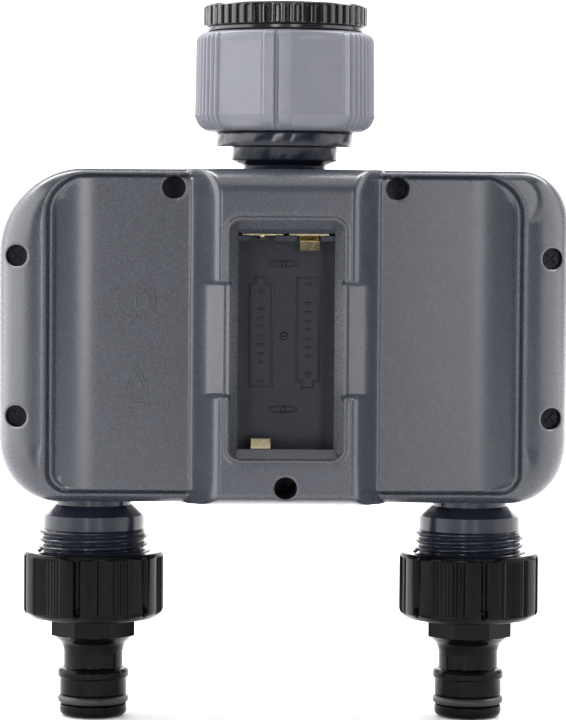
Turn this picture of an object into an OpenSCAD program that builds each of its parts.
// Two-outlet drip irrigation timer, seen from its battery side along +Y.
// +X is to the right, +Z is up, the origin is on the inlet axis at the
// top rim of the tap adapter, and Y = 0 is the plane where the shells part.

/* [Housing] */
// Width of the housing
body_w = 135; // [120:1:165]
// Height of the housing
body_h = 78.5; // [76:0.5:100]
// Distance from the top rim of the adapter down to the housing
neck_h = 39; // [37:0.5:50]
// Wall thickness of both shells
wall = 3; // [2.4:0.1:3.6]
// Depth of the front shell
front_d = 24; // [23:0.5:32]
// Edge radius of the front shell
front_edge = 10; // [6:0.5:11]
// Depth of the rim of the rear shell
rim_d = 15.5; // [14:0.5:20]
// Depth of the flat part of the rear panels
panel_d = 16; // [14.5:0.5:20]
// Depth of the battery bay
bay_d = 28; // [26:0.5:34]
// Half width of the bay at its face
bay_half_w = 16.3; // [15.5:0.1:20]
// Spread of each bay flank from face to foot
flank_spread = 5.4; // [3:0.1:7]

/* [Battery opening] */
// Width of the cover opening
opening_w = 26.4; // [25.2:0.2:29]
// Height of the cover opening
opening_h = 55.2; // [54.6:0.2:60]
// Width of the opening in the ledge under the cover
ledge_w = 22.4; // [21.6:0.2:24]
// Length of the finger recess in each flank
recess_h = 25; // [15:1:35]

/* [Batteries] */
// Diameter of one cell
cell_d = 10.5; // [10:0.1:10.5]
// Clear length between the contact plates
cell_space = 51.2; // [49:0.2:53]

/* [Water fittings] */
// Distance between the two outlet axes
outlet_pitch = 90; // [84:1:104]
// Crest radius of the outlet threads
outlet_r = 13.2; // [12.8:0.05:13.4]
// Crest radius of the inlet thread
inlet_r = 16.62; // [16.2:0.02:17]
// Bore radius of the adapter thread for the tap
tap_bore_r = 12.06; // [11.8:0.02:12.6]
// Outer radius of the manifold tube
tube_r = 7; // [6.2:0.1:7.4]
// Inner radius of the manifold tube
tube_bore_r = 4.5; // [3.5:0.1:5]

/* [Controls] */
// Diameter of a push button
button_d = 8; // [6:0.5:10]
// Travel of a push button
button_travel = 0.8; // [0.4:0.1:1.2]

/* [Hidden] */
$fn = 64;
EPS = 0.01;
SIDES = ["left", "right"];
BUTTONS = ["up_button", "down_button", "set_button", "left_valve_button", "right_valve_button"];

// Colours
SHELL_GREY = [0.40, 0.41, 0.45];
NUT_GREY = [0.60, 0.60, 0.65];
SLATE = [0.21, 0.23, 0.29];
BLACK = [0.09, 0.09, 0.10];
RUBBER = [0.13, 0.13, 0.13];
NATURAL = [0.85, 0.84, 0.80];
STEEL = [0.66, 0.67, 0.69];
NICKEL = [0.78, 0.74, 0.60];
COPPER = [0.72, 0.42, 0.22];
BOARD_GREEN = [0.10, 0.36, 0.20];

// Housing outline
top_z = -neck_h;
bottom_z = top_z - body_h;
mid_z = (top_z + bottom_z) / 2;
half_w = body_w / 2;
corner_tl = 20.4;
corner_tr = 12.3;
corner_bl = 14.5;
corner_br = 14;
side_fillet = 12;
top_fillet = 3;
bottom_fillet = 5;
cover_gap = 0.3;
part_gap = 0.1;

// Rear panels, the field inside the step
step_inset = 12.2;
step_half_w = half_w - step_inset;
step_top_z = top_z - 2.1;
step_bottom_z = bottom_z + 3;
step_corner = 8.5;
step_low_corner = 4.5;
step_low_d = panel_d - 2.4;
overlap = 0.05;
panel_rise_w = 11.3;
panel_rise_r = (pow(panel_rise_w, 2) + pow(panel_d - step_low_d, 2)) / (2 * (panel_d - step_low_d));

// Battery bay
bay_foot_w = bay_half_w + flank_spread;
bay_edge = 2.6;
bay_top_r = 7.5;
bay_bottom_r = 3;
flank_angle = atan2(bay_d - panel_d, flank_spread);
opening_top_z = top_z - 11.9;
opening_bottom_z = opening_top_z - opening_h;
opening_mid_z = (opening_top_z + opening_bottom_z) / 2;
opening_corner = 2.6;
cover_pocket_d = 2.4;
ledge_t = 2;
ledge_margin_z = 2.1;
ledge_y = -bay_d + cover_pocket_d;
tray_face_y = ledge_y + ledge_t + part_gap;
recess_depth = 4;

// Battery tray
tray_wall = 1.9;
tray_floor = 1.5;
floor_y = -10;
tray_back_y = floor_y + tray_floor;
tray_half_w = ledge_w / 2 + tray_wall;
tray_mid_z = opening_mid_z - 1.5;
plate_t = 0.4;
well_half_h = cell_space / 2 + plate_t + part_gap;
tray_half_h = well_half_h + tray_wall;
bay_cavity_half_w = tray_half_w + cover_gap + 1;
cell_x = 5.6;
cell_y = floor_y - cell_d / 2;
tray_ear_x = 18.4;
tray_ear_z = [tray_mid_z + 20, tray_mid_z - 20];
tray_boss_r = 2.8;
tray_screw_r = 1.1;

// Screws of the housing
screw_hole_r = 2.6;
screw_head_r = 2.4;
screw_r = 1.45;
boss_r = 4.1;
boss_seat = 4;
screw_len = 10;
edge_screw_x = half_w - 4.5;
top_screw_x = 26.1;
SCREWS = [
    [-edge_screw_x, top_z - 20.6], [edge_screw_x, top_z - 20.6],
    [-edge_screw_x, bottom_z + 20.2], [edge_screw_x, bottom_z + 20.2],
    [-top_screw_x, top_z - 4.4], [top_screw_x, top_z - 4.4],
    [0, bottom_z + 4.7]
];
boss_front_y = 12;

// Seal between the shells
seal_w = 1.2;
seal_d = 1;
seal_inset = (wall - seal_w) / 2;

// Inlet stack, downward from the adapter rim
grip_r = 19.55;
grip_h = 5.3;
grip_teeth = 50;
shoulder_r = 18.5;
nut_top_z = -6.5;
nut_bottom_z = -30;
nut_r = 21.5;
nut_edge = 2;
adapter_bottom_z = -19.5;
tap_thread_depth = 14;
tap_washer_r = tap_bore_r + 0.9;
washer_t = 2.4;
inlet_pitch = 2.309;
thread_gap = 0.14;
inlet_washer_top_z = adapter_bottom_z - 0.25;
neck_top_z = inlet_washer_top_z - washer_t;
neck_r = 12.5;
nut_lip_r = neck_r + 0.2;
nut_lip_top_z = neck_top_z - 3.2;
retainer_t = 1.4;
retainer_z = nut_lip_top_z + 0.15;
retainer_r = 15;
groove_r = 11.3;
collar_r = 16.3;
collar_top_z = -30.2;
collar_bottom_z = -33.6;
stage_bottom_z = -36.7;
stage_r = 12.65;
throat_r = 9.7;
throat_z = -37.9;
throat_end_z = top_z - 7;
inlet_bore_r = 8;
cross_z = bottom_z + 24;

// Valves, inline bodies on the outlet axes
valve_x = outlet_pitch / 2;
cup_r = 12.5;
chamber_r = 9.6;
socket_r = tube_r + 2.8;
valve_face_z = cross_z + socket_r + 0.2;
chamber_floor_z = cross_z - tube_bore_r - 1.2;
cup_bottom_z = chamber_floor_z - 2.4;
seat_r = 5.6;
valve_bore_r = 4.2;
socket_bore_r = tube_r + 0.1;
tube_end_x = valve_x - cup_r - 0.6;
ear_r = 2.9;
ear_at_r = 14.6;
EAR_TURNS = [30, 150, 210, 330];
valve_screw_r = 1;
outlet_tube_r = 9;
outlet_bore_r = 7;
outlet_cone_z = bottom_z - 4.9;
outlet_cone_h = 2.4;
outlet_collar_r = 11.75;
thread_top_z = bottom_z - 7.5;
outlet_end_z = bottom_z - 22;
outlet_pitch_mm = 1.814;
thread_depth = 1.12;
wide_bore_z = bottom_z + 3.5;

// Diaphragm, bonnet and solenoid, upward from the valve face
diaphragm_t = 1.5;
bonnet_z = valve_face_z + diaphragm_t + 0.02;
bonnet_t = 4.8;
bonnet_recess_r = 8.6;
bonnet_recess_h = 3.1;
core_r = 4.4;
core_bore_r = 3.36;
core_h = 21.5;
plunger_r = 3.3;
plunger_len = 14;
plunger_z = bonnet_z + 0.4;
coil_r = 9.5;
coil_h = 13.5;
yoke_t = 1.2;
yoke_half_w = 8;
yoke_x = coil_r + 0.5;
core_top_z = bonnet_z + bonnet_t + core_h;
coil_z = bonnet_z + bonnet_t + yoke_t + 0.3;
fit_gap = 0.15;

// Hose connectors, hanging from the outlet threads
connector_r = 16.2;
lobe_r = 16.95;
nut_rim_z = bottom_z - 13.5;
knurl_end_z = bottom_z - 27.9;
connector_seat_z = outlet_end_z - washer_t - 0.1;
connector_bore_r = 5;
hex_r = 10.7;
hex_top_z = bottom_z - 29.1;
hex_bottom_z = bottom_z - 32.7;
waist_r = 7.1;
waist_z = bottom_z - 35.9;
flange_top_z = bottom_z - 40.7;
flange_r = 8.5;
nose_top_z = bottom_z - 42.8;
nose_r = 8.05;
oring_z = bottom_z - 48.1;
oring_wire = 1.05;
oring_out_r = 8.5;
oring_r = oring_out_r - oring_wire;
nose_end_z = bottom_z - 52;
nose_edge = 1.4;
KNURL_TURN = [18, 37.7];

// Electronics in the front shell
board_front_y = 17.1;
board_t = 1.6;
board_back_y = board_front_y - board_t;
board_half_w = 26;
board_top_z = top_z - 9;
board_bottom_z = SCREWS[6][1] + boss_r + 0.3;
post_x = 22.5;
post_inset_z = 4;
post_r = 3;
lcd_half_w = 18;
display_z = top_z - 26;
lcd_half_h = 11;
lcd_y = [board_front_y, board_front_y + 3.3];
window_half_w = 15;
window_half_h = 8;
window_rebate = 2;
window_t = 1.2;
panel_recess = 0.8;
panel_half_w = 24;
recess_y = front_d - panel_recess;
button_row_z = [bottom_z + 33.5, bottom_z + 18.5];
button_flange_r = button_d / 2 + 1.1;
button_flange_t = 1;
button_back_y = front_d - wall - button_flange_t - 0.3;
button_hole_gap = 0.25;
BUTTON_AT = [
    [-14, button_row_z[0]], [14, button_row_z[0]], [0, button_row_z[0]],
    [-11, button_row_z[1]], [11, button_row_z[1]]
];

// ---------------------------------------------------------------- helpers

// Extrudes an (x, z) outline from y0 to y1
module slab(y0, y1) {
    translate([0, y1, 0]) rotate([90, 0, 0]) linear_extrude(y1 - y0) children();
}

// Extrudes an (x, y) outline from z0 to z1
module layer(z0, z1) {
    translate([0, 0, z0]) linear_extrude(z1 - z0) children();
}

// Extrudes a (y, z) outline from x0 to x1
module bar(x0, x1) {
    translate([x0, 0, 0]) rotate([90, 0, 90]) linear_extrude(x1 - x0) children();
}

// Cylinder along Y
module pin_y(x, z, r, y0, y1) {
    translate([x, y1, z]) rotate([90, 0, 0]) cylinder(r = r, h = y1 - y0);
}

// Cylinder along X
module pin_x(r, x0, x1) {
    translate([x0, 0, 0]) rotate([0, 90, 0]) cylinder(r = r, h = x1 - x0);
}

// Tube between two heights
module ring(r_out, r_in, z0, z1) {
    difference() {
        translate([0, 0, z0]) cylinder(r = r_out, h = z1 - z0);
        translate([0, 0, z0 - 1]) cylinder(r = r_in, h = z1 - z0 + 2);
    }
}

// Rectangle with four corner radii: top left, top right, bottom left, bottom right
module round_rect(x0, x1, z0, z1, tl, tr, bl, br) {
    polygon([
        [x0 + bl, z0], [x1 - br, z0], [x1, z0 + br], [x1, z1 - tr],
        [x1 - tr, z1], [x0 + tl, z1], [x0, z1 - tl], [x0, z0 + bl]
    ]);
    translate([x0 + tl, z1 - tl]) circle(tl);
    translate([x1 - tr, z1 - tr]) circle(tr);
    translate([x0 + bl, z0 + bl]) circle(bl);
    translate([x1 - br, z0 + br]) circle(br);
}

// Rectangle with one radius at its four corners
module soft_rect(half_x, z0, z1, r) {
    round_rect(-half_x, half_x, z0, z1, r, r, r, r);
}

// Helical coil of round wire, closed at its ends
module coil_spring(r, wire, height, turns, z0) {
    seg = 16;
    sides = 6;
    n = turns * seg;
    points = [
        for (i = [0:n], j = [0:sides - 1])
            let (a = 360 * i / seg, b = 360 * j / sides, q = r + wire * cos(b))
            [q * cos(a), q * sin(a), z0 + wire + (height - 2 * wire) * i / n + wire * sin(b)]
    ];
    faces = concat(
        [[for (j = [0:sides - 1]) j]],
        [[for (j = [sides - 1:-1:0]) n * sides + j]],
        [
            for (i = [0:n - 1], j = [0:sides - 1])
                let (a = i * sides + j, b = i * sides + (j + 1) % sides)
                [a, a + sides, b]
        ],
        [
            for (i = [0:n - 1], j = [0:sides - 1])
                let (a = i * sides + j, b = i * sides + (j + 1) % sides)
                [b, a + sides, b + sides]
        ]
    );
    polyhedron(points, faces);
}

// Insulated wire along a list of points
module wire(path, r) {
    for (i = [0:len(path) - 2]) {
        d = path[i + 1] - path[i];
        length = norm(d);
        translate(path[i])
            rotate([0, acos(d[2] / length), atan2(d[1], d[0])])
                cylinder(r = r, h = length, $fn = 16);
    }
    for (i = [1:len(path) - 2]) {
        translate(path[i]) sphere(r = r, $fn = 16);
    }
}

// Screw along Y with its head at the -Y end and a cross recess
module screw_y(x, z, head_r, r, head_y, length) {
    difference() {
        union() {
            pin_y(x, z, head_r, head_y - 1.9, head_y);
            pin_y(x, z, r, head_y - EPS, head_y + length);
        }
        for (turn = [0, 90]) {
            translate([x, head_y - 1.4, z]) rotate([0, turn + 45, 0])
                cube([head_r * 1.3, 1.2, 0.6], center = true);
        }
    }
}

// Screw along Z with its head on top
module screw_z(x, y, head_r, r, seat_z, length) {
    difference() {
        translate([x, y, 0]) union() {
            translate([0, 0, seat_z]) cylinder(r = head_r, h = 1.3, $fn = 32);
            translate([0, 0, seat_z - length]) cylinder(r = r, h = length + EPS, $fn = 32);
        }
        for (turn = [0, 90]) {
            translate([x, y, seat_z + 1.1]) rotate([0, 0, turn])
                cube([head_r * 1.3, 0.45, 0.9], center = true);
        }
    }
}

// --------------------------------------------------------------- housing

// Outline of the housing, moved in by inset
module outline(inset) {
    round_rect(
        -half_w + inset, half_w - inset, bottom_z + inset, top_z - inset,
        corner_tl - inset, corner_tr - inset, corner_bl - inset, corner_br - inset
    );
}

// Corner cutter: what a fillet of radius e takes off a round corner of radius r
module corner_cut(x, z, r, e, start, face_y, inward) {
    translate([x, face_y, z]) rotate([inward * -90, 0, 0]) rotate([0, 0, start]) rotate_extrude(angle = 90)
        difference() {
            translate([r - e, -1]) square([e + 1, e + 1]);
            translate([r - e, e]) circle(e);
        }
}

module corner_cuts(inset, e_top, e_bottom, face_y, inward) {
    // Angles run clockwise seen from behind when the cutter points to +Y
    quarter = inward > 0 ? [180, -90, 90, 0] : [90, 0, 180, -90];
    corner_cut(-half_w + corner_tl, top_z - corner_tl, corner_tl - inset, e_top, quarter[0], face_y, inward);
    corner_cut(half_w - corner_tr, top_z - corner_tr, corner_tr - inset, e_top, quarter[1], face_y, inward);
    corner_cut(-half_w + corner_bl, bottom_z + corner_bl, corner_bl - inset, e_bottom, quarter[2],
        face_y, inward);
    corner_cut(half_w - corner_br, bottom_z + corner_br, corner_br - inset, e_bottom, quarter[3], face_y,
        inward);
}

// Rear rim: filleted block up to rim_d
module rear_rim() {
    difference() {
        intersection() {
            slab(-rim_d, 0) outline(0);
            layer(bottom_z - 1, top_z + 1) union() {
                translate([-half_w, side_fillet - rim_d]) square([body_w, rim_d - side_fillet]);
                translate([side_fillet - half_w, -rim_d]) square([body_w - 2 * side_fillet, rim_d]);
                for (side = [-1, 1]) {
                    translate([side * (half_w - side_fillet), side_fillet - rim_d]) circle(side_fillet);
                }
            }
            bar(-half_w - 1, half_w + 1) round_rect(
                -rim_d, side_fillet, bottom_z, top_z, top_fillet, top_fillet, bottom_fillet, bottom_fillet
            );
        }
        corner_cuts(0, top_fillet, bottom_fillet, -rim_d, 1);
    }
}

// Outline of the step round the rear panels, moved out by grow
module step_outline(grow) {
    high = step_corner + grow;
    low = step_low_corner + grow;
    round_rect(
        -step_half_w - grow, step_half_w + grow, step_bottom_z - grow, step_top_z + grow, high, high, low, low
    );
}

// The two rear panels, which rise from the step towards the bay
module rear_panels() {
    rise_x = step_half_w - panel_rise_w;
    intersection() {
        slab(-bay_d, -1) step_outline(overlap);
        layer(bottom_z, top_z) union() {
            translate([-rise_x, -panel_d]) square([2 * rise_x, panel_d]);
            for (side = [-1, 1]) {
                intersection() {
                    translate([side * rise_x, panel_rise_r - panel_d]) circle(panel_rise_r, $fn = 128);
                    translate([side < 0 ? -half_w : 0, -panel_d]) square([half_w, panel_d]);
                }
            }
        }
    }
}

// Outline of the bay in (x, y), with rounded face edges
module bay_profile() {
    t = bay_edge * tan(flank_angle / 2);
    fx = bay_half_w + t * cos(flank_angle);
    fy = -bay_d + t * sin(flank_angle);
    polygon([
        [-bay_foot_w, -panel_d], [-fx, fy], [t - bay_half_w, -bay_d],
        [bay_half_w - t, -bay_d], [fx, fy], [bay_foot_w, -panel_d],
        [bay_foot_w, -1], [-bay_foot_w, -1]
    ]);
    for (side = [-1, 1]) {
        translate([side * (bay_half_w - t), bay_edge - bay_d]) circle(bay_edge);
    }
}

module bay_block() {
    intersection() {
        layer(bottom_z - 1, top_z + 1) bay_profile();
        bar(-half_w, half_w) round_rect(
            -bay_d, side_fillet, bottom_z, top_z, bay_top_r, bay_top_r, bay_bottom_r, bay_bottom_r
        );
    }
}

// Space inside the rear shell
module rear_cavity() {
    floor_side = rim_d - wall - 1.4;
    intersection() {
        slab(-bay_d, 1) outline(wall);
        layer(bottom_z, top_z) union() {
            translate([wall - half_w, side_fillet - rim_d]) square([body_w - 2 * wall, rim_d]);
            intersection() {
                for (side = [-1, 1]) {
                    translate([side * (half_w - side_fillet), side_fillet - rim_d])
                        circle(side_fillet - wall);
                }
                translate([-half_w, -floor_side]) square([body_w, floor_side]);
            }
            translate([side_fillet - half_w, -floor_side]) square([body_w - 2 * side_fillet, rim_d]);
            polygon([
                [-step_half_w, -floor_side], [panel_rise_w - step_half_w, wall - 0.5 - panel_d],
                [step_half_w - panel_rise_w, wall - 0.5 - panel_d], [step_half_w, -floor_side]
            ]);
        }
    }
}

module bay_cavity() {
    z0 = tray_mid_z - tray_half_h - cover_gap;
    z1 = tray_mid_z + tray_half_h + cover_gap;
    slab(tray_face_y - part_gap, 1) soft_rect(bay_cavity_half_w, z0, z1, 1);
}

// Cover opening with its ledge and the finger recesses
module opening_cuts() {
    slab(-bay_d - 2, ledge_y) soft_rect(opening_w / 2, opening_bottom_z, opening_top_z, opening_corner);
    slab(-bay_d - 2, tray_face_y) soft_rect(
        ledge_w / 2, opening_bottom_z + ledge_margin_z, opening_top_z - ledge_margin_z, 1
    );
    for (side = [-1, 1]) {
        layer(opening_mid_z - recess_h / 2, opening_mid_z + recess_h / 2) polygon([
            [side * (opening_w / 2 - 1), -bay_d - 2],
            [side * (opening_w / 2 - 1), cover_pocket_d - bay_d],
            [side * (opening_w / 2 + 1), recess_depth - bay_d],
            [side * (bay_foot_w + 2), recess_depth + 4 - bay_d],
            [side * (bay_foot_w + 2), -bay_d - 2]
        ]);
    }
}

// Half holes for the inlet throat and the two outlet tubes
module neck_holes(y0, y1) {
    gap = 0.2;
    intersection() {
        union() {
            translate([0, 0, top_z - wall - 1]) cylinder(r = throat_r + gap, h = wall + 3);
            for (side = [-1, 1]) {
                translate([side * valve_x, 0, bottom_z - 2]) cylinder(r = outlet_tube_r + gap, h = wall + 3);
            }
        }
        translate([-half_w, y0, bottom_z - 3]) cube([body_w, y1 - y0, body_h + 6]);
    }
}

module seal_ring(y0, y1, gap) {
    difference() {
        slab(y0, y1) outline(seal_inset - gap);
        slab(y0 - 1, y1 + 1) outline(seal_inset + seal_w + gap);
        translate([0, 0, top_z - wall - 1]) cylinder(r = throat_r + 1.2 - gap, h = wall + 3);
        for (side = [-1, 1]) {
            translate([side * valve_x, 0, bottom_z - 2])
                cylinder(r = outlet_tube_r + 1.2 - gap, h = wall + 3);
        }
    }
}

module rear_shell() {
    color(SHELL_GREY)
    difference() {
        union() {
            difference() {
                union() {
                    difference() {
                        rear_rim();
                        slab(-bay_d, -step_low_d + 1) step_outline(0);
                    }
                    rear_panels();
                    bay_block();
                }
                rear_cavity();
                bay_cavity();
            }
            intersection() {
                for (s = SCREWS) {
                    pin_y(s[0], s[1], boss_r, -bay_d, 0);
                }
                union() {
                    rear_rim();
                    bay_block();
                }
            }
            for (side = [-1, 1], z = tray_ear_z) {
                pin_y(side * tray_ear_x, z, tray_boss_r, -panel_d + 1, floor_y - part_gap);
            }
        }
        opening_cuts();
        neck_holes(-throat_r - 1, 1);
        seal_ring(-seal_d, 1, 0.05);
        for (s = SCREWS) {
            pin_y(s[0], s[1], screw_hole_r, -bay_d - 2, -boss_seat);
            pin_y(s[0], s[1], screw_r + 0.25, -boss_seat - 1, 1);
        }
        for (side = [-1, 1], z = tray_ear_z) {
            pin_y(side * tray_ear_x, z, tray_screw_r + 0.02, -panel_d, 0);
        }
    }
}

module front_form(inset) {
    edge = front_edge - inset;
    depth = front_d - inset;
    difference() {
        intersection() {
            slab(0, depth) outline(inset);
            layer(bottom_z - 1, top_z + 1) round_rect(
                inset - half_w, half_w - inset, -front_edge, depth, edge, edge, 1, 1
            );
            bar(-half_w - 1, half_w + 1) round_rect(
                -front_edge, depth, bottom_z + inset, top_z - inset, 1, edge, 1, edge
            );
        }
        corner_cuts(inset, edge, edge, depth, -1);
    }
}

module front_shell() {
    color(SHELL_GREY)
    difference() {
        union() {
            difference() {
                front_form(0);
                front_form(wall);
            }
            for (s = SCREWS) {
                intersection() {
                    pin_y(s[0], s[1], boss_r, 0, front_d - wall + 1);
                    front_form(1);
                }
            }
            for (x = [-post_x, post_x], z = [board_top_z - post_inset_z, board_bottom_z + post_inset_z]) {
                pin_y(x, z, post_r, board_front_y + 0.02, front_d - wall + 1);
            }
        }
        slab(recess_y, front_d + 1) soft_rect(panel_half_w, bottom_z + 9.5, top_z - 12, 4);
        slab(recess_y - window_t, front_d + 1) soft_rect(
            window_half_w + window_rebate, display_z - window_half_h - window_rebate,
            display_z + window_half_h + window_rebate, 1.5
        );
        slab(front_d - wall - 1, front_d + 1) soft_rect(
            window_half_w, display_z - window_half_h, display_z + window_half_h, 1
        );
        for (b = BUTTON_AT) {
            pin_y(b[0], b[1], button_d / 2 + button_hole_gap, front_d - wall - 1, front_d + 1);
        }
        neck_holes(-1, throat_r + 1);
        for (s = SCREWS) {
            pin_y(s[0], s[1], screw_r + 0.02, -1, boss_front_y);
        }
        for (x = [-post_x, post_x], z = [board_top_z - post_inset_z, board_bottom_z + post_inset_z]) {
            pin_y(x, z, 1.02, board_front_y - 1, front_d - wall - 0.5);
        }
    }
}

module shell_seal() {
    color(RUBBER) seal_ring(-seal_d, 0, 0);
}

module case_screws() {
    color(STEEL)
    for (s = SCREWS) {
        screw_y(s[0], s[1], screw_head_r, screw_r, -boss_seat, screw_len + boss_seat);
    }
}

// --------------------------------------------------------- battery tray

module battery_tray() {
    rib_x = 9.45;
    rib_t = 1.2;
    tab_z = tray_mid_z + well_half_h;
    color(SLATE)
    difference() {
        union() {
            difference() {
                slab(tray_face_y, tray_back_y) soft_rect(
                    tray_half_w, tray_mid_z - tray_half_h, tray_mid_z + tray_half_h, 1
                );
                slab(tray_face_y - 1, floor_y) soft_rect(
                    ledge_w / 2, tray_mid_z - well_half_h, tray_mid_z + well_half_h, 0.5
                );
            }
            // Side ribs that cradle the cells
            for (side = [-1, 1]) {
                translate([side * (ledge_w / 2 + rib_x) / 2, floor_y - 1, tray_mid_z])
                    cube([ledge_w / 2 - rib_x + 0.2, 2.2, 2 * well_half_h - 2], center = true);
                // Ears for the screws
                for (z = tray_ear_z) {
                    hull() {
                        pin_y(side * tray_ear_x, z, tray_boss_r, floor_y, tray_back_y);
                        pin_y(side * (tray_half_w - 1), z, tray_boss_r, floor_y, tray_back_y);
                    }
                }
            }
            // Ribs that hold the contact plates against the end walls
            for (x = [[-ledge_w / 2 - 0.1, -8.7], [-2.6, 2.4], [8.1, ledge_w / 2 + 0.1]], end = [-1, 1]) {
                z0 = tray_mid_z + end * (well_half_h - plate_t - 2 * part_gap);
                translate([x[0], tray_face_y + 1, end > 0 ? z0 - rib_t : z0])
                    cube([x[1] - x[0], floor_y - tray_face_y - 0.9, rib_t]);
            }
            // Low divider between the two cells
            translate([-0.6, floor_y - 1.2, tray_mid_z - 20]) cube([1.2, 1.3, 40]);
        }
        // Lens-shaped holes in the floor that drain the well
        for (z = [tray_mid_z + 17.2, tray_mid_z - 17.2]) {
            translate([0, 0, z]) rotate([90, 0, 0]) cylinder(r = 1.2, h = 20);
        }
        for (side = [-1, 1], z = tray_ear_z) {
            pin_y(side * tray_ear_x, z, tray_screw_r + 0.3, floor_y - 1, tray_back_y + 1);
        }
        // Slots for the solder tails of the contacts
        for (x = [-5.6, 5.6]) {
            translate([x, tray_back_y, tab_z - 0.4]) cube([2.6, 4, 0.8], center = true);
        }
    }
}

module tray_screws() {
    color(STEEL)
    for (side = [-1, 1], z = tray_ear_z) {
        difference() {
            union() {
                pin_y(side * tray_ear_x, z, 2, tray_back_y + 0.01, tray_back_y + 1.3);
                pin_y(side * tray_ear_x, z, tray_screw_r, tray_back_y - 6, tray_back_y + 0.02);
            }
            for (turn = [0, 90]) {
                translate([side * tray_ear_x, tray_back_y + 1.2, z]) rotate([0, turn, 0])
                    cube([2.6, 0.9, 0.45], center = true);
            }
        }
    }
}

// Contact plate against the end wall of the well; end is 1 on top, -1 below
module contact_plate(x0, x1, end) {
    z = tray_mid_z + end * (well_half_h - part_gap - plate_t / 2);
    translate([(x0 + x1) / 2, (floor_y + tray_face_y) / 2 + 0.4, z])
        cube([x1 - x0, floor_y - tray_face_y - 3.4, plate_t], center = true);
}

// Rounded bump that meets the positive end of a cell
module contact_bump(x, end) {
    z = tray_mid_z + end * (well_half_h - part_gap - plate_t);
    intersection() {
        translate([x, cell_y, z + end * 1.2]) sphere(r = 2.4, $fn = 48);
        translate([x, cell_y, z - end * 1.5 + end * 0.1]) cube([6, 6, 3], center = true);
    }
}

// Bent leaf that presses on the negative end of a cell
module contact_leaf(x, end) {
    z = tray_mid_z + end * (well_half_h - part_gap - plate_t);
    bar(x - 2.3, x + 2.3) polygon([
        [cell_y + 4, z + end * 0.1], [cell_y + 4, z - end * 0.3],
        [cell_y + 0.8, z - end * 3.6], [cell_y - 0.8, z - end * 3.6], [cell_y - 2.8, z - end * 1.4],
        [cell_y - 2.5, z - end * 1.1], [cell_y - 0.6, z - end * 3.2], [cell_y + 0.6, z - end * 3.2],
        [cell_y + 3.6, z + end * 0.1]
    ]);
}

module contact_tail(x) {
    z = tray_mid_z + well_half_h - part_gap - plate_t / 2;
    translate([x, tray_back_y, z]) cube([2, 5, plate_t], center = true);
}

module contact_plus() {
    color(NICKEL) {
        contact_plate(-10.2, -0.6, 1);
        contact_bump(-cell_x, 1);
        contact_tail(-5.6);
    }
}

module contact_minus() {
    color(NICKEL) {
        contact_plate(0.6, 9.9, 1);
        contact_leaf(cell_x, 1);
        contact_tail(5.6);
    }
}

module contact_bridge() {
    color(NICKEL) {
        contact_plate(-10.2, 10.2, -1);
        contact_bump(cell_x, -1);
        contact_leaf(-cell_x, -1);
    }
}

module battery_leads() {
    z = tray_mid_z + well_half_h - part_gap - plate_t / 2;
    wire_r = 0.6;
    for (side = [-1, 1]) {
        x = side * 5.6;
        start_y = tray_back_y + 2.6 + wire_r;
        color(side < 0 ? [0.75, 0.1, 0.1] : BLACK)
        wire([
            [x, start_y, z], [side * 13, start_y, z], [side * 13, board_back_y - 0.05, z]
        ], wire_r);
    }
}

// ------------------------------------------------------------- manifold

module inlet_manifold() {
    color(SLATE)
    difference() {
        union() {
            translate([0, 0, collar_top_z - EPS]) cylinder(r = neck_r, h = neck_top_z - collar_top_z + EPS);
            translate([0, 0, collar_bottom_z]) cylinder(r = collar_r, h = collar_top_z - collar_bottom_z);
            translate([0, 0, stage_bottom_z])
                cylinder(r = stage_r, h = collar_bottom_z - stage_bottom_z + EPS);
            translate([0, 0, throat_z]) cylinder(r1 = throat_r, r2 = stage_r, h = stage_bottom_z - throat_z);
            translate([0, 0, throat_end_z]) cylinder(r = throat_r, h = throat_z - throat_end_z + EPS);
            translate([0, 0, throat_end_z - 3]) cylinder(r1 = tube_r, r2 = throat_r, h = 3);
            translate([0, 0, cross_z]) cylinder(r = tube_r, h = throat_end_z - cross_z);
            translate([0, 0, cross_z]) pin_x(tube_r, -tube_end_x, tube_end_x);
        }
        translate([0, 0, stage_bottom_z]) cylinder(r = inlet_bore_r, h = 40);
        translate([0, 0, throat_end_z]) cylinder(r1 = tube_bore_r, r2 = inlet_bore_r,
            h = stage_bottom_z - throat_end_z + EPS);
        translate([0, 0, cross_z]) cylinder(r = tube_bore_r, h = throat_end_z - cross_z + 1);
        translate([0, 0, cross_z]) pin_x(tube_bore_r, -valve_x, valve_x);
        // Seat of the strainer
        translate([0, 0, neck_top_z - 0.8]) cylinder(r = inlet_bore_r + 2.2, h = 2);
        // Groove of the ring that keeps the nut on
        ring(neck_r + 1, groove_r, retainer_z - 0.1, retainer_z + retainer_t + 0.1);
        // Groove of the neck seal
        ring(throat_r + 1, throat_r - 1.2, top_z - wall - 2.6, top_z - wall - 0.6);
        // Grooves of the seals in the valve sockets
        for (side = [-1, 1]) {
            translate([side * (tube_end_x - 2.4), 0, cross_z]) rotate([0, 90, 0])
                ring(tube_r + 1, tube_r - 1.5, -1, 1);
        }
    }
}

// Rubber ring of round section about Z
module oring(r, wire, z) {
    translate([0, 0, z]) rotate_extrude() translate([r, 0]) circle(wire, $fn = 32);
}

module neck_seal() {
    wire = 0.95;
    color(RUBBER) oring(throat_r - 1.2 + wire, wire, top_z - wall - 1.6);
}

module nut_retainer() {
    gap_w = 6;
    color(STEEL)
    difference() {
        ring(retainer_r, groove_r + 0.05, retainer_z, retainer_z + retainer_t);
        translate([0, 0, retainer_z - 1]) rotate([0, 0, 60]) translate([0, -gap_w / 2, 0])
            cube([retainer_r + 2, gap_w, retainer_t + 2]);
    }
}

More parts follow.
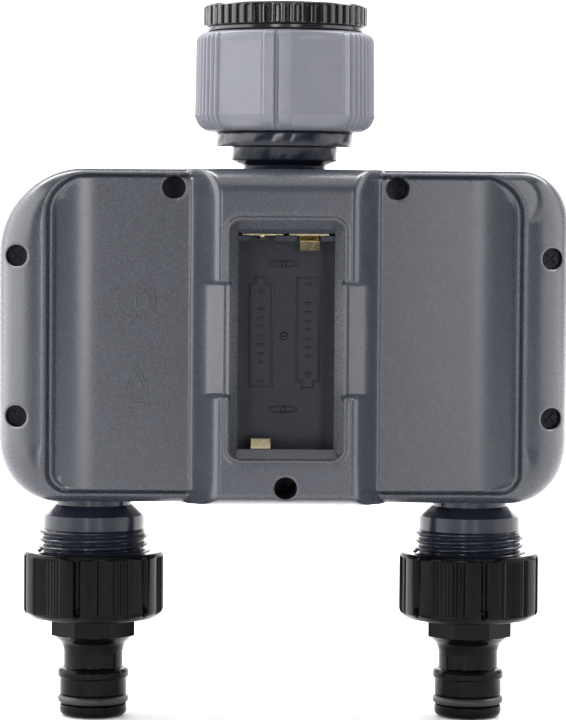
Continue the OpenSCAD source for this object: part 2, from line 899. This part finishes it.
// Outline of the union nut: three corners with a ridge pair, three with flutes
module nut_outline() {
    flat_in = nut_r - 0.3;
    pair_turn = -6.7;
    flute_turn = 53.3;
    polygon([
        for (k = [0:2], a = [-51.4, -16.4, 3.6, 38])
            let (b = a + 120 * k - 90)
            [flat_in * cos(b), flat_in * sin(b)]
    ]);
    for (k = [0:2]) {
        for (a = [-4, 4]) {
            rotate(pair_turn + a + 120 * k - 90) translate([nut_r - 0.9, 0]) circle(0.9, $fn = 24);
        }
        for (i = [0:5]) {
            rotate(flute_turn + (i - 2.5) * 5.4 + 120 * k - 90) translate([nut_r - 0.95, 0])
                circle(0.95, $fn = 24);
        }
    }
}

module inlet_nut() {
    relief_r = inlet_r + thread_gap;
    color(NUT_GREY)
    difference() {
        intersection() {
            layer(nut_bottom_z, nut_top_z) nut_outline();
            rotate_extrude() union() {
                translate([0, nut_bottom_z + nut_edge])
                    square([nut_r + 1, nut_top_z - nut_bottom_z - 2 * nut_edge]);
                translate([0, nut_bottom_z]) square([nut_r - nut_edge, nut_top_z - nut_bottom_z]);
                for (z = [nut_bottom_z + nut_edge, nut_top_z - nut_edge]) {
                    translate([nut_r - nut_edge, z]) circle(nut_edge);
                }
            }
        }
        translate([0, 0, nut_lip_top_z]) cylinder(r = relief_r, h = 30);
        translate([0, 0, nut_bottom_z - 1]) cylinder(r = nut_lip_r, h = 30);
        translate([0, 0, nut_top_z - 1.2]) cylinder(r1 = relief_r, r2 = relief_r + 1.4, h = 1.4);
    }
}

module inlet_washer() {
    color(RUBBER) ring(neck_r + 2, inlet_bore_r + 0.6, neck_top_z + 0.02, inlet_washer_top_z);
}

module inlet_strainer() {
    rim_r = inlet_bore_r + 2;
    cup_r = inlet_bore_r - 0.5;
    depth = 8;
    bars = 12;
    color(NATURAL)
    difference() {
        union() {
            translate([0, 0, neck_top_z - 0.75]) cylinder(r = rim_r, h = 0.75);
            translate([0, 0, neck_top_z - depth]) cylinder(r = cup_r, h = depth);
        }
        translate([0, 0, neck_top_z - depth + 1]) cylinder(r = cup_r - 1, h = depth);
        for (k = [0:bars - 1]) {
            rotate(360 * k / bars) translate([cup_r, 0, neck_top_z - depth / 2])
                cube([4, 1.6, depth - 3], center = true);
        }
        for (k = [0:5]) {
            rotate(60 * k) translate([cup_r / 2, 0, neck_top_z - depth])
                cylinder(r = 0.9, h = 4, center = true, $fn = 16);
        }
    }
}

module inlet_adapter() {
    crest_w = inlet_pitch * 0.28;
    thread_low_z = adapter_bottom_z + 1;
    turns = floor((nut_top_z - 1 - thread_low_z) / inlet_pitch);
    color(BLACK)
    difference() {
        union() {
            layer(-grip_h, 0) union() {
                circle(grip_r - 0.8);
                for (k = [0:grip_teeth - 1]) {
                    rotate(360 * k / grip_teeth) translate([grip_r - 0.75, 0]) circle(0.75, $fn = 16);
                }
            }
            translate([0, 0, nut_top_z + 0.15]) cylinder(r = shoulder_r, h = -grip_h - nut_top_z);
            translate([0, 0, adapter_bottom_z]) cylinder(r = inlet_r - 1.48, h = -grip_h - adapter_bottom_z);
            for (k = [0:turns - 1]) {
                translate([0, 0, thread_low_z + inlet_pitch * k]) rotate_extrude() polygon([
                    [inlet_r - 2, 0], [inlet_r - 1.5, 0], [inlet_r, inlet_pitch / 2 - crest_w / 2],
                    [inlet_r, inlet_pitch / 2 + crest_w / 2], [inlet_r - 1.5, inlet_pitch], [inlet_r - 2,
                        inlet_pitch]
                ]);
            }
        }
        translate([0, 0, -tap_thread_depth - EPS]) cylinder(r = tap_bore_r, h = 30);
        translate([0, 0, -tap_thread_depth - washer_t]) cylinder(r = tap_washer_r + 0.1, h = washer_t);
        translate([0, 0, adapter_bottom_z - 1]) cylinder(r = inlet_bore_r + 1, h = 10);
    }
}

module tap_washer() {
    color(RUBBER)
    ring(tap_washer_r, inlet_bore_r + 1, -tap_thread_depth - washer_t + 0.02, -tap_thread_depth - 0.02);
}

// --------------------------------------------------------------- valves

// Places a left or right group on its outlet axis
module on_axis(side) {
    translate([side == "left" ? -valve_x : valve_x, 0, 0]) children();
}

module flange_ears(z0, z1) {
    for (a = EAR_TURNS) {
        rotate(a) hull() {
            translate([ear_at_r, 0, z0]) cylinder(r = ear_r, h = z1 - z0, $fn = 32);
            translate([8, 0, z0]) cylinder(r = ear_r, h = z1 - z0, $fn = 32);
        }
    }
}

module ear_holes(r, z0, z1) {
    for (a = EAR_TURNS) {
        rotate(a) translate([ear_at_r, 0, z0]) cylinder(r = r, h = z1 - z0, $fn = 32);
    }
}

// Ridges of the outlet thread at its real pitch and depth
module outlet_thread() {
    pitch = outlet_pitch_mm;
    crest_w = pitch * 0.24;
    root = outlet_r - thread_depth;
    turns = floor((thread_top_z - outlet_end_z - 0.8) / pitch);
    for (k = [0:turns - 1]) {
        translate([0, 0, thread_top_z - pitch * (k + 1)]) rotate_extrude() polygon([
            [root - 1, 0], [root, 0], [outlet_r, pitch / 2 - crest_w / 2],
            [outlet_r, pitch / 2 + crest_w / 2], [root, pitch], [root - 1, pitch]
        ]);
    }
}

module valve_body(side) {
    inward = side == "left" ? 1 : -1;
    color(SLATE)
    on_axis(side) difference() {
        union() {
            difference() {
                union() {
                    translate([0, 0, cup_bottom_z]) cylinder(r = cup_r, h = valve_face_z - cup_bottom_z);
                    flange_ears(valve_face_z - 6, valve_face_z);
                    translate([0, 0, cross_z]) rotate([0, 90, 0])
                        translate([0, 0, inward > 0 ? chamber_r : -cup_r - 5])
                        cylinder(r = socket_r, h = cup_r + 5 - chamber_r);
                }
                translate([0, 0, chamber_floor_z]) cylinder(r = chamber_r, h = 40);
            }
            translate([0, 0, cup_bottom_z]) cylinder(r = seat_r, h = valve_face_z - cup_bottom_z);
            translate([0, 0, outlet_cone_z + EPS])
                cylinder(r = outlet_tube_r, h = cup_bottom_z - outlet_cone_z);
            translate([0, 0, outlet_cone_z])
                cylinder(r1 = outlet_collar_r, r2 = outlet_tube_r, h = outlet_cone_h);
            translate([0, 0, outlet_end_z])
                cylinder(r = outlet_r - thread_depth, h = outlet_cone_z - outlet_end_z);
            translate([0, 0, thread_top_z])
                cylinder(r = outlet_collar_r + 0.4, h = outlet_cone_z - thread_top_z);
            outlet_thread();
        }
        translate([0, 0, outlet_end_z - 1]) cylinder(r = valve_bore_r, h = valve_face_z - outlet_end_z + 2);
        translate([0, 0, outlet_end_z - 1]) cylinder(r = outlet_bore_r, h = wide_bore_z - outlet_end_z + 1);
        translate([0, 0, cross_z]) rotate([0, 90 * inward, 0]) translate([0, 0, cup_r - 0.4])
            cylinder(r = socket_bore_r, h = 10);
        translate([0, 0, cross_z]) rotate([0, 90 * inward, 0]) translate([0, 0, chamber_r - 2])
            cylinder(r = tube_bore_r, h = 10);
        ear_holes(valve_screw_r + 0.02, valve_face_z - 5, valve_face_z + 1);
    }
}

module diaphragm(side) {
    z = valve_face_z + 0.01;
    color(RUBBER)
    on_axis(side) translate([0, 0, z]) rotate_extrude() polygon([
        [0.6, 0], [7, 0], [8, 0.9], [9.1, 0.9], [9.6, 0], [cup_r - 0.6, 0],
        [cup_r - 0.6, diaphragm_t], [7.7, diaphragm_t], [6.6, 1.3], [0.6, 1.3]
    ]);
}

module diaphragm_spring(side) {
    color(STEEL)
    on_axis(side) coil_spring(6, 0.3, bonnet_recess_h + 0.1, 2, valve_face_z + 1.35);
}

module bonnet(side) {
    color(NATURAL)
    on_axis(side) difference() {
        union() {
            translate([0, 0, bonnet_z]) cylinder(r = cup_r - 0.2, h = bonnet_t);
            flange_ears(bonnet_z, bonnet_z + 2.5);
            translate([0, 0, bonnet_z]) cylinder(r = core_r, h = bonnet_t + core_h);
        }
        translate([0, 0, bonnet_z - 1]) cylinder(r = bonnet_recess_r, h = bonnet_recess_h + 1);
        translate([0, 0, bonnet_z - 1]) cylinder(r = core_bore_r, h = bonnet_t + core_h + 1 - 1.2);
        ear_holes(valve_screw_r + 0.2, bonnet_z - 1, bonnet_z + 4);
    }
}

module bonnet_screws(side) {
    color(STEEL)
    on_axis(side) for (a = EAR_TURNS) {
        rotate(a) screw_z(ear_at_r, 0, 1.75, valve_screw_r, bonnet_z + 2.51, 7);
    }
}

module coil(side) {
    color(COPPER)
    on_axis(side) difference() {
        union() {
            translate([0, 0, coil_z]) cylinder(r = coil_r, h = 1);
            translate([0, 0, coil_z + coil_h - 1]) cylinder(r = coil_r, h = 1);
            translate([0, 0, coil_z]) cylinder(r = coil_r - 0.8, h = coil_h);
        }
        translate([0, 0, coil_z - 1]) cylinder(r = core_r + fit_gap, h = coil_h + 2);
    }
}

module yoke(side) {
    outward = side == "left" ? -1 : 1;
    z0 = coil_z - yoke_t - 0.1;
    z1 = coil_z + coil_h + 0.1;
    color(STEEL)
    on_axis(side) difference() {
        union() {
            for (z = [z0, z1]) {
                translate([outward > 0 ? -yoke_half_w : -yoke_x - yoke_t, -yoke_half_w, z])
                    cube([yoke_half_w + yoke_x + yoke_t, 2 * yoke_half_w, yoke_t]);
            }
            translate([outward > 0 ? yoke_x : -yoke_x - yoke_t, -yoke_half_w, z0])
                cube([yoke_t, 2 * yoke_half_w, z1 - z0 + yoke_t]);
        }
        translate([0, 0, z0 - 1]) cylinder(r = core_r + fit_gap, h = coil_h + 10);
    }
}

module plunger(side) {
    color(STEEL)
    on_axis(side) difference() {
        union() {
            translate([0, 0, plunger_z + 0.8]) cylinder(r = plunger_r, h = plunger_len - 0.8);
            translate([0, 0, plunger_z]) cylinder(r1 = 1.4, r2 = plunger_r, h = 0.81);
        }
        translate([0, 0, plunger_z + plunger_len - 2]) cylinder(r = plunger_r - 0.9, h = 3);
    }
}

module plunger_spring(side) {
    z0 = plunger_z + plunger_len - 2 + 0.02;
    z1 = core_top_z - 1.22;
    color(STEEL)
    on_axis(side) coil_spring(1.9, 0.22, z1 - z0, 6, z0);
}

module coil_leads(side) {
    inward = side == "left" ? 1 : -1;
    start_z = coil_z + coil_h / 2;
    reach_x = valve_x - board_half_w + 3;
    wire_r = 0.5;
    on_axis(side) for (k = [0, 1]) {
        z = start_z - 3 + 3 * k;
        color(k == 0 ? [0.75, 0.1, 0.1] : BLACK)
        wire([
            [0, coil_r - 0.75, z], [0, board_back_y - 3, z],
            [inward * reach_x, board_back_y - 3, z], [inward * reach_x, board_back_y - 0.05, z]
        ], wire_r);
    }
}

module manifold_seal(side) {
    inward = side == "left" ? -1 : 1;
    wire = 0.78;
    color(RUBBER)
    translate([inward * (tube_end_x - 2.4), 0, cross_z]) rotate([0, 90, 0])
        oring(tube_r - 1.5 + wire + 0.01, wire, 0);
}

module outlet_washer(side) {
    color(RUBBER)
    on_axis(side) ring(outlet_r - 0.2, connector_bore_r + 1, connector_seat_z + 0.02, outlet_end_z - 0.05);
}

// Outline of the connector nut: six knurled grips between six smooth lobes
module connector_outline() {
    lobe_w = 34;
    groove_w = 8;
    ridges = 9;
    circle(connector_r);
    for (k = [0:5]) {
        for (part = [-1, 1]) {
            a0 = 30 + 60 * k + part * groove_w / 2;
            a1 = 30 + 60 * k + part * lobe_w / 2;
            polygon([
                [0, 0], lobe_r * [cos(a0), sin(a0)], lobe_r / cos(3)
                    * [cos((a0 + a1) / 2), sin((a0 + a1) / 2)],
                lobe_r * [cos(a1), sin(a1)]
            ]);
        }
        for (i = [0:ridges - 1]) {
            rotate(60 * k + (i - (ridges - 1) / 2) * 2.7) translate([connector_r, 0]) circle(0.42, $fn = 16);
        }
    }
}

module connector(side) {
    turn = KNURL_TURN[side == "left" ? 0 : 1] - 90;
    relief_r = outlet_r + thread_gap;
    color(BLACK)
    on_axis(side) rotate(turn) difference() {
        union() {
            intersection() {
                layer(knurl_end_z, nut_rim_z) connector_outline();
                rotate_extrude() polygon([
                    [0, nut_rim_z], [connector_r - 0.4, nut_rim_z], [lobe_r + 0.1, nut_rim_z - 1.4],
                    [lobe_r + 0.1, knurl_end_z + 3], [connector_r - 2.6, knurl_end_z], [0, knurl_end_z]
                ]);
            }
            translate([0, 0, hex_top_z]) cylinder(r = hex_r - 0.6, h = knurl_end_z - hex_top_z + 0.1);
            translate([0, 0, hex_bottom_z]) cylinder(r = hex_r, h = hex_top_z - hex_bottom_z + EPS, $fn = 8);
            rotate_extrude() polygon([
                [0, hex_bottom_z + EPS], [hex_r - 0.8, hex_bottom_z + EPS], [waist_r + 1, hex_bottom_z - 1.4],
                [waist_r, waist_z], [waist_r, flange_top_z], [flange_r, flange_top_z],
                [flange_r, nose_top_z], [nose_r, nose_top_z - 0.6], [nose_r, oring_z + oring_wire],
                [oring_r - oring_wire, oring_z + oring_wire], [oring_r - oring_wire, oring_z - oring_wire],
                [nose_r, oring_z - oring_wire], [nose_r, nose_end_z + nose_edge], [nose_r - nose_edge,
                    nose_end_z],
                [0, nose_end_z]
            ]);
        }
        translate([0, 0, connector_seat_z]) cylinder(r = relief_r, h = 40);
        translate([0, 0, nose_end_z - 1]) cylinder(r = connector_bore_r, h = 60);
        translate([0, 0, nut_rim_z - 1]) cylinder(r1 = relief_r, r2 = relief_r + 1.2, h = 1.2);
    }
}

module connector_seal(side) {
    color(RUBBER) on_axis(side) oring(oring_r + 0.01, oring_wire - 0.02, oring_z);
}

// ---------------------------------------------------------- electronics

module circuit_board() {
    color(BOARD_GREEN)
    difference() {
        union() {
            slab(board_back_y, board_front_y) soft_rect(board_half_w, board_bottom_z, board_top_z, 2);
            // Controller chip and two capacitors on the rear face
            translate([0, board_back_y - 1, mid_z]) cube([9, 2.02, 9], center = true);
            for (side = [-1, 1]) {
                pin_y(side * 18, bottom_z + 27.5, 2.5, board_back_y - 3.5, board_back_y + EPS);
            }
        }
        for (x = [-post_x, post_x], z = [board_top_z - post_inset_z, board_bottom_z + post_inset_z]) {
            pin_y(x, z, 1.2, board_back_y - 1, board_front_y + 1);
        }
    }
}

module board_screws() {
    color(STEEL)
    for (x = [-post_x, post_x], z = [board_top_z - post_inset_z, board_bottom_z + post_inset_z]) {
        difference() {
            union() {
                pin_y(x, z, 1.9, board_back_y - 1.3, board_back_y - 0.01);
                pin_y(x, z, 1, board_back_y - 0.02, board_front_y + 3);
            }
            for (turn = [0, 90]) {
                translate([x, board_back_y - 1.2, z]) rotate([0, turn, 0])
                    cube([2.4, 0.9, 0.45], center = true);
            }
        }
    }
}

module tact_switches() {
    switch_w = 4.5;
    body_t = 1.4;
    color(BLACK)
    for (b = BUTTON_AT) {
        translate([b[0], board_front_y + body_t / 2 + 0.01, b[1]])
            cube([switch_w, body_t, switch_w], center = true);
        pin_y(b[0], b[1], 1.2, board_front_y + body_t, button_back_y - button_travel - 0.1);
    }
}

module lcd_module() {
    color(NATURAL)
    difference() {
        slab(lcd_y[0] + 0.01, lcd_y[1]) soft_rect(lcd_half_w, display_z - lcd_half_h,
            display_z + lcd_half_h, 1);
        slab(lcd_y[1] - 0.4, lcd_y[1] + 1) soft_rect(
            window_half_w, display_z - window_half_h, display_z + window_half_h, 0.5
        );
    }
}

module lcd_window() {
    gap = 0.1;
    half_w_in = window_half_w + window_rebate - gap;
    half_h_in = window_half_h + window_rebate - gap;
    color([0.75, 0.80, 0.80, 0.5])
    slab(recess_y - window_t + 0.02, recess_y)
        soft_rect(half_w_in, display_z - half_h_in, display_z + half_h_in, 1.4);
}

module button(name) {
    at = BUTTON_AT[search([name], BUTTONS)[0]];
    crown = 0.5;
    color(NUT_GREY)
    translate([at[0], 0, at[1]]) rotate([-90, 0, 0]) rotate_extrude() polygon([
        [0, button_back_y], [button_flange_r, button_back_y],
        [button_flange_r, button_back_y + button_flange_t], [button_d / 2, button_back_y + button_flange_t],
        [button_d / 2, front_d - crown], [button_d / 2 - crown, front_d], [0, front_d]
    ]);
}

// ------------------------------------------------------------- assembly

rear_shell();
front_shell();
shell_seal();
case_screws();
battery_tray();
tray_screws();
contact_plus();
contact_minus();
contact_bridge();
battery_leads();
inlet_manifold();
neck_seal();
nut_retainer();
inlet_nut();
inlet_washer();
inlet_strainer();
inlet_adapter();
tap_washer();
circuit_board();
board_screws();
tact_switches();
lcd_module();
lcd_window();
for (side = SIDES) {
    valve_body(side);
    diaphragm(side);
    diaphragm_spring(side);
    bonnet(side);
    bonnet_screws(side);
    coil(side);
    yoke(side);
    plunger(side);
    plunger_spring(side);
    coil_leads(side);
    manifold_seal(side);
    outlet_washer(side);
    connector(side);
    connector_seal(side);
}
for (name = BUTTONS) {
    button(name);
}
